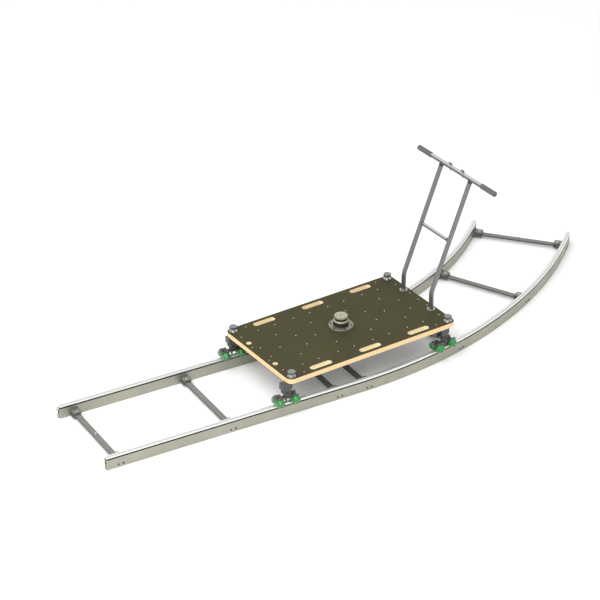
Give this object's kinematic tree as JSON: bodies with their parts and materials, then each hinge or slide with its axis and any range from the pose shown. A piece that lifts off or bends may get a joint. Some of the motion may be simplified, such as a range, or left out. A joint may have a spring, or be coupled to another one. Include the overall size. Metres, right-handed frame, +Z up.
{
  "type": "dolly track",
  "caption": "Film dolly track, a straight and a curved section of round-headed rail on cross ties, with a plywood platform dolly on swivelling wheel trucks and an upright push bar.",
  "frame": {"origin": "on the ground, in the middle of the box round the whole object", "axes": "+X runs along the straight section towards the curve, +Y points to the side that the curve turns to, +Z is up"},
  "size_m": [3.7988, 1.3966, 1.0763],
  "materials": {
    "rail": "satin anodised web with a polished head",
    "tie": "satin",
    "bracket": "satin grey",
    "pin": "brushed",
    "fastener": "blackened steel",
    "deck": "birch plywood with an olive-brown film face",
    "insert": "plated, dull",
    "truck": "grey hammered paint",
    "knob": "bead-blasted",
    "wheel": "green cast urethane, satin",
    "tube": "grey powder coat",
    "fitting": "black",
    "grip": "black foam rubber",
    "mount_pale": "pale anodised",
    "mount_dark": "black anodised"
  },
  "bodies": {
    "track": {"rail_straight_near": "rail", "rail_straight_far": "rail", "rail_curved_near": "rail", "rail_curved_far": "rail", "straight_ties": "tie", "curved_ties": "tie", "tie_brackets": "bracket", "tie_pins": "pin", "rail_screws": "fastener", "rail_dowels": "pin"},
    "plunger_left": {"tie_plunger_left": "pin"},
    "plunger_right": {"tie_plunger_right": "pin"},
    "dolly": {"deck_board": "deck", "deck_inserts": "insert", "deck_washers": "knob", "push_bar_sockets": "tube", "mount_flange": "mount_pale", "mount_flange_screws": "fastener", "mount_drum": "mount_dark"},
    "mount_top": {"mount_top_disc": "mount_pale"},
    "push_bar": {"push_bar_posts": "tube", "push_bar_brace": "tube", "push_bar_fittings": "fitting", "handlebar": "tube", "handlebar_grips": "grip"},
    "wing_near": {"wing_screw_near": "fitting"},
    "wing_far": {"wing_screw_far": "fitting"},
    "lever": {"brake_lever": "truck"},
    "truck_near_left": {"yoke_near_left": "truck"},
    "wheels_frame_near_left": {"bogie_near_left": "truck", "axles_near_left": "fastener"},
    "knob_near_left": {"knob_near_left": "knob"},
    "wheel_near_left_rear_out": {"wheel_near_left_rear_out": "wheel"},
    "wheel_near_left_front_out": {"wheel_near_left_front_out": "wheel"},
    "wheel_near_left_rear_in": {"wheel_near_left_rear_in": "wheel"},
    "wheel_near_left_front_in": {"wheel_near_left_front_in": "wheel"},
    "truck_near_right": {"yoke_near_right": "truck"},
    "wheels_frame_near_right": {"bogie_near_right": "truck", "axles_near_right": "fastener"},
    "knob_near_right": {"knob_near_right": "knob"},
    "wheel_near_right_rear_out": {"wheel_near_right_rear_out": "wheel"},
    "wheel_near_right_front_out": {"wheel_near_right_front_out": "wheel"},
    "wheel_near_right_rear_in": {"wheel_near_right_rear_in": "wheel"},
    "wheel_near_right_front_in": {"wheel_near_right_front_in": "wheel"},
    "truck_far_left": {"yoke_far_left": "truck"},
    "wheels_frame_far_left": {"bogie_far_left": "truck", "axles_far_left": "fastener"},
    "knob_far_left": {"knob_far_left": "knob"},
    "wheel_far_left_rear_in": {"wheel_far_left_rear_in": "wheel"},
    "wheel_far_left_front_in": {"wheel_far_left_front_in": "wheel"},
    "wheel_far_left_rear_out": {"wheel_far_left_rear_out": "wheel"},
    "wheel_far_left_front_out": {"wheel_far_left_front_out": "wheel"},
    "truck_far_right": {"yoke_far_right": "truck"},
    "wheels_frame_far_right": {"bogie_far_right": "truck", "axles_far_right": "fastener"},
    "knob_far_right": {"knob_far_right": "knob"},
    "wheel_far_right_rear_in": {"wheel_far_right_rear_in": "wheel"},
    "wheel_far_right_front_in": {"wheel_far_right_front_in": "wheel"},
    "wheel_far_right_rear_out": {"wheel_far_right_rear_out": "wheel"},
    "wheel_far_right_front_out": {"wheel_far_right_front_out": "wheel"}
  },
  "joints": [
    {"name": "dolly_roll", "type": "hinge", "parent": "track", "child": "dolly", "pos_m": [-0.69278, 3.99604, 0.2167], "axis": [0, 0, 1], "range_deg": [-1.98, 1.98]},
    {"name": "bogie_near_left_roll", "type": "slide", "parent": "track", "child": "wheels_frame_near_left", "axis": [1, 0, 0], "range_m": [-0.164, 0.164]},
    {"name": "truck_near_left_steer", "type": "hinge", "parent": "dolly", "child": "truck_near_left", "pos_m": [-0.68275, -0.64168, 0.2467], "axis": [0, 0, 1], "range_deg": [-2.03, 2.03]},
    {"name": "knob_near_left_turn", "type": "hinge", "parent": "truck_near_left", "child": "knob_near_left", "pos_m": [-0.68275, -0.64168, 0.2667], "axis": [0, 0, 1], "range_deg": [-180, 180]},
    {"name": "wheel_near_left_rear_out_spin", "type": "hinge", "parent": "wheels_frame_near_left", "child": "wheel_near_left_rear_out", "pos_m": [-0.77275, -0.67089, 0.10199], "axis": [0, 0.7071, 0.7071], "range_deg": [-370, 370]},
    {"name": "wheel_near_left_front_out_spin", "type": "hinge", "parent": "wheels_frame_near_left", "child": "wheel_near_left_front_out", "pos_m": [-0.66875, -0.67089, 0.10199], "axis": [0, 0.7071, 0.7071], "range_deg": [-370, 370]},
    {"name": "wheel_near_left_rear_in_spin", "type": "hinge", "parent": "wheels_frame_near_left", "child": "wheel_near_left_rear_in", "pos_m": [-0.77275, -0.61432, 0.10199], "axis": [0, 0.7071, -0.7071], "range_deg": [-370, 370]},
    {"name": "wheel_near_left_front_in_spin", "type": "hinge", "parent": "wheels_frame_near_left", "child": "wheel_near_left_front_in", "pos_m": [-0.66875, -0.61432, 0.10199], "axis": [0, 0.7071, -0.7071], "range_deg": [-370, 370]},
    {"name": "bogie_near_right_roll", "type": "hinge", "parent": "track", "child": "wheels_frame_near_right", "pos_m": [-0.26437, 2.4024, 0], "axis": [0, 0, 1], "range_deg": [-3.1, 3.1]},
    {"name": "truck_near_right_steer", "type": "hinge", "parent": "dolly", "child": "truck_near_right", "pos_m": [0.44291, -0.55491, 0.2467], "axis": [0, 0, 1], "range_deg": [-1.12, 1.12]},
    {"name": "knob_near_right_turn", "type": "hinge", "parent": "truck_near_right", "child": "knob_near_right", "pos_m": [0.44291, -0.55491, 0.2667], "axis": [0, 0, 1], "range_deg": [-180, 180]},
    {"name": "wheel_near_right_rear_out_spin", "type": "hinge", "parent": "wheels_frame_near_right", "child": "wheel_near_right_rear_out", "pos_m": [0.36236, -0.60675, 0.10199], "axis": [-0.1559, 0.6897, 0.7071], "range_deg": [-374, 374]},
    {"name": "wheel_near_right_front_out_spin", "type": "hinge", "parent": "wheels_frame_near_right", "child": "wheel_near_right_front_out", "pos_m": [0.4638, -0.58383, 0.10199], "axis": [-0.1559, 0.6897, 0.7071], "range_deg": [-374, 374]},
    {"name": "wheel_near_right_rear_in_spin", "type": "hinge", "parent": "wheels_frame_near_right", "child": "wheel_near_right_rear_in", "pos_m": [0.34989, -0.55158, 0.10199], "axis": [-0.1559, 0.6897, -0.7071], "range_deg": [-374, 374]},
    {"name": "wheel_near_right_front_in_spin", "type": "hinge", "parent": "wheels_frame_near_right", "child": "wheel_near_right_front_in", "pos_m": [0.45133, -0.52865, 0.10199], "axis": [-0.1559, 0.6897, -0.7071], "range_deg": [-374, 374]},
    {"name": "bogie_far_left_roll", "type": "slide", "parent": "track", "child": "wheels_frame_far_left", "axis": [1, 0, 0], "range_m": [-0.143, 0.143]},
    {"name": "truck_far_left_steer", "type": "hinge", "parent": "dolly", "child": "truck_far_left", "pos_m": [-0.7304, -0.02352, 0.2467], "axis": [0, 0, 1], "range_deg": [-2.03, 2.03]},
    {"name": "knob_far_left_turn", "type": "hinge", "parent": "truck_far_left", "child": "knob_far_left", "pos_m": [-0.7304, -0.02352, 0.2667], "axis": [0, 0, 1], "range_deg": [-180, 180]},
    {"name": "wheel_far_left_rear_in_spin", "type": "hinge", "parent": "wheels_frame_far_left", "child": "wheel_far_left_rear_in", "pos_m": [-0.7944, -0.05089, 0.10199], "axis": [0, 0.7071, 0.7071], "range_deg": [-321, 321]},
    {"name": "wheel_far_left_front_in_spin", "type": "hinge", "parent": "wheels_frame_far_left", "child": "wheel_far_left_front_in", "pos_m": [-0.6904, -0.05089, 0.10199], "axis": [0, 0.7071, 0.7071], "range_deg": [-321, 321]},
    {"name": "wheel_far_left_rear_out_spin", "type": "hinge", "parent": "wheels_frame_far_left", "child": "wheel_far_left_rear_out", "pos_m": [-0.7944, 0.00568, 0.10199], "axis": [0, 0.7071, -0.7071], "range_deg": [-321, 321]},
    {"name": "wheel_far_left_front_out_spin", "type": "hinge", "parent": "wheels_frame_far_left", "child": "wheel_far_left_front_out", "pos_m": [-0.6904, 0.00568, 0.10199], "axis": [0, 0.7071, -0.7071], "range_deg": [-321, 321]},
    {"name": "bogie_far_right_roll", "type": "hinge", "parent": "track", "child": "wheels_frame_far_right", "pos_m": [-0.26437, 2.4024, 0], "axis": [0, 0, 1], "range_deg": [-3.37, 3.37]},
    {"name": "truck_far_right_steer", "type": "hinge", "parent": "dolly", "child": "truck_far_right", "pos_m": [0.39526, 0.06325, 0.2467], "axis": [0, 0, 1], "range_deg": [-1.39, 1.39]},
    {"name": "knob_far_right_turn", "type": "hinge", "parent": "truck_far_right", "child": "knob_far_right", "pos_m": [0.39526, 0.06325, 0.2667], "axis": [0, 0, 1], "range_deg": [-180, 180]},
    {"name": "wheel_far_right_rear_in_spin", "type": "hinge", "parent": "wheels_frame_far_right", "child": "wheel_far_right_rear_in", "pos_m": [0.3397, 0.02408, 0.10199], "axis": [-0.1886, 0.6815, 0.7071], "range_deg": [-325, 325]},
    {"name": "wheel_far_right_front_in_spin", "type": "hinge", "parent": "wheels_frame_far_right", "child": "wheel_far_right_front_in", "pos_m": [0.43993, 0.05181, 0.10199], "axis": [-0.1886, 0.6815, 0.7071], "range_deg": [-325, 325]},
    {"name": "wheel_far_right_rear_out_spin", "type": "hinge", "parent": "wheels_frame_far_right", "child": "wheel_far_right_rear_out", "pos_m": [0.32461, 0.0786, 0.10199], "axis": [-0.1886, 0.6815, -0.7071], "range_deg": [-325, 325]},
    {"name": "wheel_far_right_front_out_spin", "type": "hinge", "parent": "wheels_frame_far_right", "child": "wheel_far_right_front_out", "pos_m": [0.42485, 0.10633, 0.10199], "axis": [-0.1886, 0.6815, -0.7071], "range_deg": [-325, 325]},
    {"name": "brake_lever_swing", "type": "hinge", "parent": "truck_near_right", "child": "lever", "pos_m": [0.36488, -0.57255, 0.168], "axis": [0.2204, -0.9754, 0], "range_deg": [0, 22]},
    {"name": "push_bar_lift", "type": "slide", "parent": "dolly", "child": "push_bar", "axis": [0, 0, 1], "range_m": [0, 0.06]},
    {"name": "wing_screw_near_turn", "type": "hinge", "parent": "push_bar", "child": "wing_near", "pos_m": [0.69294, -0.2849, 1.048], "axis": [0, 0, 1], "range_deg": [-180, 180]},
    {"name": "wing_screw_far_turn", "type": "hinge", "parent": "push_bar", "child": "wing_far", "pos_m": [0.68372, -0.16525, 1.048], "axis": [0, 0, 1], "range_deg": [-180, 180]},
    {"name": "mount_top_turn", "type": "hinge", "parent": "dolly", "child": "mount_top", "pos_m": [-0.14374, -0.28921, 0.3097], "axis": [0, 0, 1], "range_deg": [-180, 180]},
    {"name": "tie_plunger_left_pull", "type": "slide", "parent": "track", "child": "plunger_left", "axis": [0, 0, 1], "range_m": [0, 0.008], "stiffness_N_per_m": 120, "springref_m": -0.004},
    {"name": "tie_plunger_right_pull", "type": "slide", "parent": "track", "child": "plunger_right", "axis": [0, 0, 1], "range_m": [0, 0.008], "stiffness_N_per_m": 120, "springref_m": -0.004}
  ],
  "couplings": [
    {"joint": "bogie_near_left_roll", "follows": "dolly_roll", "m_per_rad": 4.6371},
    {"joint": "truck_near_left_steer", "follows": "dolly_roll", "ratio": -1},
    {"joint": "wheel_near_left_rear_out_spin", "follows": "dolly_roll", "ratio": 185.48},
    {"joint": "wheel_near_left_front_out_spin", "follows": "dolly_roll", "ratio": 185.48},
    {"joint": "wheel_near_left_rear_in_spin", "follows": "dolly_roll", "ratio": 185.48},
    {"joint": "wheel_near_left_front_in_spin", "follows": "dolly_roll", "ratio": 185.48},
    {"joint": "bogie_near_right_roll", "follows": "dolly_roll", "ratio": 1.5421},
    {"joint": "truck_near_right_steer", "follows": "dolly_roll", "ratio": 0.54208},
    {"joint": "wheel_near_right_rear_out_spin", "follows": "dolly_roll", "ratio": 187.82},
    {"joint": "wheel_near_right_front_out_spin", "follows": "dolly_roll", "ratio": 187.82},
    {"joint": "wheel_near_right_rear_in_spin", "follows": "dolly_roll", "ratio": 187.82},
    {"joint": "wheel_near_right_front_in_spin", "follows": "dolly_roll", "ratio": 187.82},
    {"joint": "bogie_far_left_roll", "follows": "dolly_roll", "m_per_rad": 4.019},
    {"joint": "truck_far_left_steer", "follows": "dolly_roll", "ratio": -1},
    {"joint": "wheel_far_left_rear_in_spin", "follows": "dolly_roll", "ratio": 160.76},
    {"joint": "wheel_far_left_front_in_spin", "follows": "dolly_roll", "ratio": 160.76},
    {"joint": "wheel_far_left_rear_out_spin", "follows": "dolly_roll", "ratio": 160.76},
    {"joint": "wheel_far_left_front_out_spin", "follows": "dolly_roll", "ratio": 160.76},
    {"joint": "bogie_far_right_roll", "follows": "dolly_roll", "ratio": 1.6786},
    {"joint": "truck_far_right_steer", "follows": "dolly_roll", "ratio": 0.67863},
    {"joint": "wheel_far_right_rear_in_spin", "follows": "dolly_roll", "ratio": 162.83},
    {"joint": "wheel_far_right_front_in_spin", "follows": "dolly_roll", "ratio": 162.83},
    {"joint": "wheel_far_right_rear_out_spin", "follows": "dolly_roll", "ratio": 162.83},
    {"joint": "wheel_far_right_front_out_spin", "follows": "dolly_roll", "ratio": 162.83}
  ]
}
